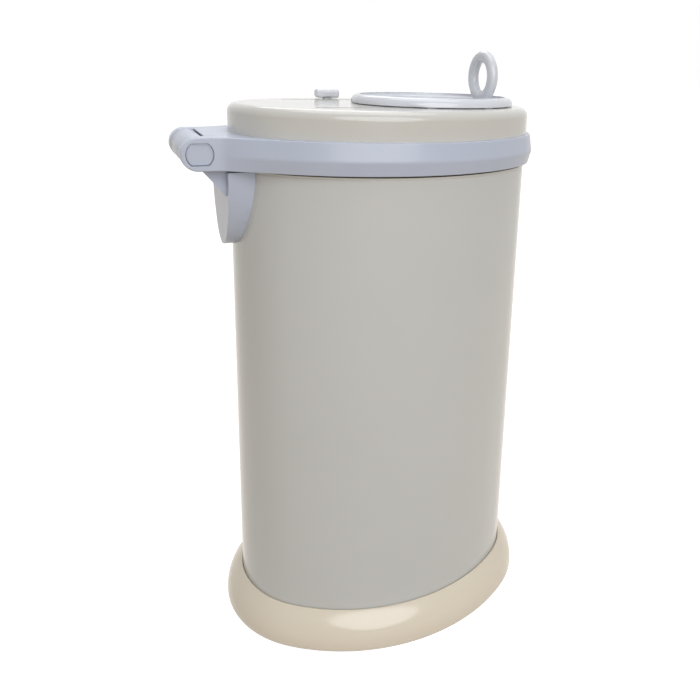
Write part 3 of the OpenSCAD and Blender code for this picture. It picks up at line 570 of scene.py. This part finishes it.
def band_mesh():
    """The band and its arms, with a half turn round the end of each arm."""
    mesh = bmesh.new()
    route = band_route()
    far = [band_half(s, True) + list(reversed(band_half(s, False))) for s in route]
    skin(mesh, far + [mirrored(row) for row in reversed(far[:-1])], ring=False)
    half = band_half(route[0], True)
    turned = []
    for i in range(25):
        a = math.pi * (0.5 + i / 24)
        turned.append([(HINGE_X + (z - BAND_MID) * math.cos(a), y, BAND_MID + (z - BAND_MID) * math.sin(a))
                       for x, y, z in half])
    for rows in (turned, [mirrored(row) for row in turned]):
        skin(mesh, rows, ring=False, closed=False)
    return mesh


def pocket_cutter():
    """What both arms lose to the buttons: a round pocket and the grooved hole in the face."""
    mesh = bmesh.new()
    x = middle("hinge_button_near").x
    face = ARM_LINE + OUT_ARM
    for side in (-1, 1):
        tower(mesh, [round_outline(BUTTON_R + POCKET_GAP, x, side * y) for y in (ARM_IN - 1, POCKET_END)])
        tower(mesh, [button_outline(BUTTON_R + GROOVE, BUTTON_FLATS + 2 * GROOVE, x, side * y)
                     for y in (POCKET_END - OVERCUT, face + 1.3)])
    return mesh


def web_mesh():
    """The web between the arms, stepped along its rear where the hinge's barrel turns."""
    mesh = bmesh.new()
    steps = arc((HINGE_X, BAND_MID), WEB_STEP, 60, 30, 1)
    rear = fillet([(-LONG, BAND_TOP), (steps[0][0], BAND_TOP)] + steps
                  + [(WEB_REAR, BAND_MID), (WEB_REAR, BAND_LOW), (-LONG, BAND_LOW)],
                  [0, 0.5, 0, 0, 0, size("edge"), 0], steps=4)[1:-1]
    rows = []
    for i in range(25):
        y = -ARM_IN + 2 * ARM_IN * i / 24
        x = -END_ARC_X - math.sqrt(SEAT_R * SEAT_R - y * y)
        rows.append([(x, y, BAND_TOP)] + [(a, y, z) for a, z in rear] + [(x, y, BAND_LOW)])
    skin(mesh, rows, ring=False)
    return mesh


class BIN_OT_lid_band(bpy.types.Operator):
    """Creased band around the lid, its two hinge arms and the web between them"""
    bl_idname = "bin.lid_band"
    bl_label = "Lid band"

    def execute(self, context):
        band = solid("lid_band_creased", band_mesh())
        cutter = solid("button_cutter", pocket_cutter())
        cut = band.modifiers.new("Button pockets", "BOOLEAN")
        cut.operation, cut.solver, cut.use_self, cut.object = "DIFFERENCE", "EXACT", True, cutter
        settle(band)
        bpy.data.objects.remove(cutter)
        web = solid("web", web_mesh())
        joined = bmesh.new()
        joined.from_mesh(band.data)
        joined.from_mesh(web.data)
        joined.to_mesh(band.data)
        joined.free()
        bpy.data.objects.remove(web)
        dress(band, "lid", "band", ["lid_band"])
        return {"FINISHED"}


def button_mesh(name, side):
    """A button's face within its rim, its cap, flange and spring room, and its two pegs."""
    lo, hi = low(name), high(name)
    x = middle(name).x
    face, back = (hi.y, lo.y) if side > 0 else (-lo.y, -hi.y)
    edge = size("edge") * 0.8
    rows = []
    for i in reversed(range(6)):
        a = math.pi / 2 * i / 5
        inset, y = edge * (1 - math.sin(a)), face - edge * (1 - math.cos(a))
        rows.append(button_outline(BUTTON_R - inset, BUTTON_FLATS - 2 * inset, x, side * y))
    rows.append(button_outline(BUTTON_R, BUTTON_FLATS, x, side * (face - CAP_DEEP)))
    for radius, deep in ((FLANGE_R, CAP_DEEP + 0.01), (FLANGE_R, FLANGE_DEEP),
                         (SPRING_ROOM_R, FLANGE_DEEP), (SPRING_ROOM_R, CAP_WALL)):
        rows.append(round_outline(radius, x, side * (face - deep)))
    mesh = bmesh.new()
    tower(mesh, rows)
    soft = 0.4
    levels = ((PEG_R - soft, back), (PEG_R, back + soft), (PEG_R, face - FLANGE_DEEP + OVERCUT))
    turns = [math.pi * k / 10 for k in range(20)]
    for up in (-1, 1):
        z = BAND_MID + up * PEG_ORBIT
        tower(mesh, [[(HINGE_X + r * math.cos(a), side * y, z + r * math.sin(a)) for a in turns]
                     for r, y in levels])
    return mesh


class BIN_OT_hinge_buttons(bpy.types.Operator):
    """Round press buttons with flats, in the ends of the arms"""
    bl_idname = "bin.hinge_buttons"
    bl_label = "Hinge buttons"

    def execute(self, context):
        for name, side in (("near", -1), ("far", 1)):
            packed = "hinge_button_" + name
            piece(packed + "_cap", button_mesh(packed, side), "button_" + name, "band",
                  [packed], sharp=50)
        return {"FINISHED"}


class BIN_OT_hinge_bracket(bpy.types.Operator):
    """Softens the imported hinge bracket's edges"""
    bl_idname = "bin.hinge_bracket"
    bl_label = "Hinge bracket"

    def execute(self, context):
        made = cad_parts["hinge_bracket"]
        weld = made.modifiers.new("Weld", "WELD")
        weld.merge_threshold = 0.00001
        flat = made.modifiers.new("Flat faces", "DECIMATE")
        flat.decimate_type = "DISSOLVE"
        flat.angle_limit = math.radians(0.5)
        soft = made.modifiers.new("Soft edges", "BEVEL")
        soft.width, soft.segments, soft.angle_limit = size("edge") * MM, 3, math.radians(35)
        soft.harden_normals = True
        return {"FINISHED"}


# ---- lid shell ----

SHELL_WALL = 2.4
EDGE_RADIUS = 6.6
SHELL_SEAT = 2.0
LID_TOP = high("lid_shell").z
DOOR_FRONT = high("sliding_door").x
DOOR_LONG, DOOR_WIDE = DOOR_FRONT - low("sliding_door").x, 2 * high("sliding_door").y
DOOR_MID = DOOR_FRONT - DOOR_LONG / 2
DOOR_EDGE, DOOR_GAP = 5.6, 0.5
DOOR_TRAVEL, LOCK_TRAVEL = 82, 5
DROP_MID, DROP_LONG, DROP_WIDE = 64.0, 72.0, 80.0
LEG_LONG, LEG_WIDE, SLOT_GAP = 7.0, 4.2, 0.4
LEG_X, LEG_Y = (DOOR_MID - 0.175 * DOOR_LONG, DOOR_MID + 0.175 * DOOR_LONG), 48.0
SLOT_REAR, SLOT_FRONT = LEG_X[0] - LEG_LONG / 2 - 1 - DOOR_TRAVEL, LEG_X[1] + LEG_LONG / 2 + 1
STEM = 6.0


def slot_outline(x0, x1, y0, y1):
    return fillet([(x0, y0), (x1, y0), (x1, y1), (x0, y1)], 1.0)


class BIN_OT_lid_shell(bpy.types.Operator):
    """Upper shell of the lid with its rounded edge, drop opening and slots"""
    bl_idname = "bin.lid_shell"
    bl_label = "Lid shell"

    def execute(self, context):
        mesh = bmesh.new()
        bottom = low("lid_shell").z + SHELL_SEAT
        mid, edge_z = SHELL_OUT - EDGE_RADIUS, LID_TOP - EDGE_RADIUS
        section = [(mid, LID_TOP)] + arc((mid, edge_z), EDGE_RADIUS, 90, 0, 14)[1:]
        section += [(SHELL_OUT, bottom), (SHELL_OUT - SHELL_WALL, bottom)]
        section += arc((mid, edge_z), EDGE_RADIUS - SHELL_WALL, 0, 90, 10)
        stations = body_stations()
        loft(mesh, stations, section, closed=False)
        half = LEG_WIDE / 2 + SLOT_GAP
        slots = [slot_outline(SLOT_REAR, SLOT_FRONT, y - half, y + half) for y in (-LEG_Y, LEG_Y)]
        knob, half = middle("lock_knob"), STEM / 2 + SLOT_GAP
        slots.append(slot_outline(knob.x - half, knob.x + half, knob.y - half - LOCK_TRAVEL, knob.y + half))
        drop = outline(oval(DROP_LONG / 2, DROP_WIDE / 2, DROP_MID, 120), 0)
        plate(mesh, outline(stations, mid), [drop] + slots, LID_TOP, LID_TOP - SHELL_WALL)
        piece("lid_shell_moulded", mesh, "lid", "shell", ["lid_shell"])
        return {"FINISHED"}


# ---- door, ring handle and knob ----

class BIN_OT_sliding_door(bpy.types.Operator):
    """Dished oval door with its rounded rim and four legs"""
    bl_idname = "bin.sliding_door"
    bl_label = "Sliding door"

    def execute(self, context):
        mesh = bmesh.new()
        top = high("sliding_door").z
        under, dish = LID_TOP + DOOR_GAP, low("ring_handle").z
        fall, soft, foot = top - dish, 0.9, 0.3
        section = [(-foot, under), (0, under + foot)]
        section += arc((-DOOR_EDGE, top - DOOR_EDGE), DOOR_EDGE, 0, 84, 14)
        section += arc((-DOOR_EDGE + 0.2, top - soft), soft, 90, 170, 5)
        section += arc((-DOOR_EDGE - fall, top), fall, -12, -90, 8)
        stations = oval(DOOR_LONG / 2, DOOR_WIDE / 2, DOOR_MID, 240)
        loft(mesh, stations, section, closed=False)
        for z, out in ((dish, -DOOR_EDGE - fall), (under, -foot)):
            mesh.faces.new([mesh.verts.new((x, y, z)) for x, y in outline(stations, out)])
        leg_low = low("sliding_door").z
        for x in LEG_X:
            for y in (-LEG_Y, LEG_Y):
                bar(mesh, (x - LEG_LONG / 2, y - LEG_WIDE / 2, leg_low),
                    (x + LEG_LONG / 2, y + LEG_WIDE / 2, under + 0.5), 0.3)
        piece("sliding_door_dished", mesh, "door", "white", ["sliding_door"])
        return {"FINISHED"}


class BIN_OT_ring_handle(bpy.types.Operator):
    """Rounded finger ring whose foot flares into the door"""
    bl_idname = "bin.ring_handle"
    bl_label = "Ring handle"

    def execute(self, context):
        mesh = bmesh.new()
        lo, hi = low("ring_handle"), high("ring_handle")
        x, outer, half, hole = (lo.x + hi.x) / 2, (hi.y - lo.y) / 2, (hi.x - lo.x) / 2, 11.0
        centre_z = hi.z - outer
        section = arc((outer - half, 0), half, -90, 90, 14) + arc((hole + half, 0), half, 90, 270, 14)
        rows = []
        for i in range(96):
            a = 2 * math.pi * i / 96
            rows.append([(x + d, r * math.cos(a), centre_z + r * math.sin(a)) for r, d in section])
        skin(mesh, rows)
        # The foot: heights over the dish, and how far it spreads beyond its neck there.
        flare, neck, neck_r = size("flare"), 12.5, half - 0.4
        turns = [math.pi * (k + 0.5) / 24 for k in range(48)]
        foot = []
        for rise, grow in ((0.05, flare), (0.4, flare * 0.6), (1.0, flare * 0.25), (1.8, 0.05),
                           (3.0, 0.0), (5.0, 0.3)):
            r = neck_r + grow * 0.8
            flat, z = neck + grow - r, lo.z + rise
            foot.append([(x + r * math.cos(a), math.copysign(flat, math.sin(a)) + r * math.sin(a), z)
                         for a in turns])
        tower(mesh, foot)
        ring = solid("ring_handle_rounded", mesh)
        melt = ring.modifiers.new("One skin", "REMESH")
        melt.mode, melt.voxel_size = "VOXEL", 0.00045
        smooth = ring.modifiers.new("Moulded blend", "SMOOTH")
        smooth.factor, smooth.iterations = 0.5, 6
        settle(ring)
        dress(ring, "door", "white", ["ring_handle"], sharp=70)
        return {"FINISHED"}


class BIN_OT_lock_knob(bpy.types.Operator):
    """Rounded child lock knob on its stem"""
    bl_idname = "bin.lock_knob"
    bl_label = "Lock knob"

    def execute(self, context):
        mesh = bmesh.new()
        lo, hi = low("lock_knob"), high("lock_knob")
        x, y = (lo.x + hi.x) / 2, (lo.y + hi.y) / 2
        base, half = LID_TOP + 0.6, STEM / 2
        bar(mesh, (lo.x, lo.y, base), hi, size("knob_edge"), segments=6)
        bar(mesh, (x - half, y - half, lo.z), (x + half, y + half, base + 1), 0.3)
        piece("lock_knob_rounded", mesh, "lock", "white", ["lock_knob"])
        return {"FINISHED"}


class BIN_OT_other_pieces(bpy.types.Operator):
    """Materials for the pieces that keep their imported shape"""
    bl_idname = "bin.other_pieces"
    bl_label = "Other pieces"

    def execute(self, context):
        looks = {
            "cream": ["base_floor"],
            "shell": ["top_collar"],
            "band": ["hinge_bracket"],
            "white": ["bag_ring", "lid_liner"],
            "bearing": ["door_rails", "door_carriage", "lock_guide", "hinge_bush_near", "hinge_bush_far"],
            "rubber": ["foot_pads", "collar_seal", "door_seal"],
            "zinc": ["base_screws", "bracket_plate", "bracket_screws", "hinge_pin", "lid_screws",
                     "rail_screws", "guide_screws", "button_spring_near", "button_spring_far",
                     "handle_screws", "carriage_screws", "lock_bolt", "lock_screw"],
        }
        for look, names in looks.items():
            for name in names:
                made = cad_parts[name]
                made.data.materials.clear()
                made.data.materials.append(MATERIALS[look])
        return {"FINISHED"}


# ---- stage ----

def seen_directly(tree):
    """1 for the eye's own rays, reflections and see-through, 0 for the light that falls on things."""
    path = node(tree, "ShaderNodeLightPath").outputs
    mirror = node(tree, "ShaderNodeMath", {"operation": "MAXIMUM"}, None,
                  {0: path["Is Glossy Ray"], 1: path["Is Transmission Ray"]})
    return node(tree, "ShaderNodeMath", {"operation": "MAXIMUM"}, None,
                {0: path["Is Camera Ray"], 1: mirror.outputs[0]}).outputs[0]


PAPER_GLOW, ROOM_FILL = 0.78, 0.34
LAMP_AIM = (0, 0, 0.25)


def paper_floor(scene):
    """White studio paper, lit from behind where the eye sees it, as white as the room where unshaded.

    What it throws back onto the bin is warmer and darker, like a wooden floor.
    """
    reach = 12.0
    floor = bpy.data.meshes.new("floor")
    floor.from_pydata([(-reach, -reach, 0), (reach, -reach, 0), (reach, reach, 0), (-reach, reach, 0)],
                      [], [(0, 1, 2, 3)])
    made = bpy.data.objects.new("floor", floor)
    scene.collection.objects.link(made)
    paper = bpy.data.materials.new("White studio paper, matt")
    paper.use_nodes = True
    tree = paper.node_tree
    shader = tree.nodes["Principled BSDF"]
    eye = node(tree, "ShaderNodeLightPath").outputs["Is Camera Ray"]
    tint = node(tree, "ShaderNodeMix", {"data_type": "RGBA"}, {6: linear("#A99C88"), 7: linear("#E4E4E4")},
                {0: eye})
    tree.links.new(tint.outputs[2], shader.inputs["Base Color"])
    shader.inputs["Roughness"].default_value = 0.9
    shader.inputs["Emission Color"].default_value = (1, 1, 1, 1)
    glow = node(tree, "ShaderNodeMapRange", None, {"To Min": 0.0, "To Max": PAPER_GLOW},
                {"Value": seen_directly(tree)})
    tree.links.new(glow.outputs["Result"], shader.inputs["Emission Strength"])
    floor.materials.append(paper)


def white_room(scene):
    """White where it is seen, dimmer where it lights the bin."""
    world = bpy.data.worlds.new("White room")
    world.use_nodes = True
    scene.world = world
    tree = world.node_tree
    level = node(tree, "ShaderNodeMapRange", None, {"To Min": ROOM_FILL, "To Max": 1.0},
                 {"Value": seen_directly(tree)})
    tree.links.new(level.outputs["Result"], tree.nodes["Background"].inputs["Strength"])
    tree.nodes["Background"].inputs["Color"].default_value = (1, 1, 1, 1)


def studio_lamps(scene):
    """Round soft lamps: name, place, width, power and colour."""
    for name, place, width, power, colour in (
            ("Key", (-0.15, -1.9, 1.2), 2.0, 28, (0.97, 0.98, 1.0)),
            ("Top", (0.1, 0.1, 1.9), 1.4, 9, (0.98, 0.99, 1.0)),
            ("Back", (0.3, 1.7, 2.1), 1.4, 10, (0.98, 0.99, 1.0))):
        lamp = bpy.data.lights.new(name, "AREA")
        lamp.shape = "DISK"
        lamp.size, lamp.energy, lamp.color = width, power, colour
        made = bpy.data.objects.new(name, lamp)
        made.location = place
        made.rotation_euler = (Vector(LAMP_AIM) - Vector(place)).to_track_quat("-Z", "Y").to_euler()
        scene.collection.objects.link(made)


def fitted_camera(scene):
    """The camera as fitted to the photograph: its picture's width, focal length and centre in pixels."""
    picture, focal, centre = 700, 717.3, (413.54, 247.35)
    camera = bpy.data.cameras.new("Camera")
    made = bpy.data.objects.new("Camera", camera)
    scene.collection.objects.link(made)
    scene.camera = made
    camera.sensor_width = 36
    camera.lens = camera.sensor_width * focal / picture
    camera.shift_x = (picture / 2 - centre[0]) / picture
    camera.shift_y = (centre[1] - picture / 2) / picture
    camera.clip_end = 50
    made.location = (-0.20503 + BODY_MID, -0.52492, 0.44869)
    forward, roll = Vector((0.39484, 0.88363, -0.25158)), 0.0326
    right = forward.cross(Vector((0, 0, 1))).normalized()
    right = right * math.cos(roll) + right.cross(forward) * math.sin(roll)
    made.rotation_mode = "QUATERNION"
    turned = Matrix((right, right.cross(forward), -forward)).transposed()
    made.rotation_quaternion = turned.to_quaternion()


class BIN_OT_stage(bpy.types.Operator):
    """Pale floor, soft studio lamps, white surroundings and the camera"""
    bl_idname = "bin.stage"
    bl_label = "Stage"

    def execute(self, context):
        scene = context.scene
        scene.view_settings.view_transform = "Standard"
        paper_floor(scene)
        white_room(scene)
        studio_lamps(scene)
        fitted_camera(scene)
        return {"FINISHED"}


class BIN_PT_panel(bpy.types.Panel):
    """Builds the bin piece by piece"""
    bl_idname = "BIN_PT_panel"
    bl_label = "Nappy bin"
    bl_space_type = "VIEW_3D"
    bl_region_type = "UI"
    bl_category = "Nappy bin"

    def draw(self, context):
        for group in (context.scene.bin_shape, context.scene.bin_colours):
            for name in group.__annotations__:
                self.layout.prop(group, name)
        for operator in OPERATORS:
            self.layout.operator(operator.bl_idname)


OPERATORS = (BIN_OT_other_pieces, BIN_OT_steel_body, BIN_OT_base_skirt, BIN_OT_lid_band,
             BIN_OT_hinge_buttons, BIN_OT_hinge_bracket, BIN_OT_lid_shell, BIN_OT_sliding_door,
             BIN_OT_ring_handle, BIN_OT_lock_knob, BIN_OT_stage)
CLASSES = (BinShape, BinColours) + OPERATORS + (BIN_PT_panel,)


def register():
    for made in CLASSES:
        bpy.utils.register_class(made)
    bpy.types.Scene.bin_shape = PointerProperty(type=BinShape)
    bpy.types.Scene.bin_colours = PointerProperty(type=BinColours)


def unregister():
    del bpy.types.Scene.bin_colours
    del bpy.types.Scene.bin_shape
    for made in reversed(CLASSES):
        bpy.utils.unregister_class(made)


def main():
    register()
    make_materials()
    bpy.ops.bin.other_pieces()
    bpy.ops.bin.steel_body()
    bpy.ops.bin.base_skirt()
    bpy.ops.bin.lid_band()
    bpy.ops.bin.hinge_buttons()
    bpy.ops.bin.hinge_bracket()
    bpy.ops.bin.lid_shell()
    bpy.ops.bin.sliding_door()
    bpy.ops.bin.ring_handle()
    bpy.ops.bin.lock_knob()
    bpy.ops.bin.stage()


if __name__ == "__main__":
    main()
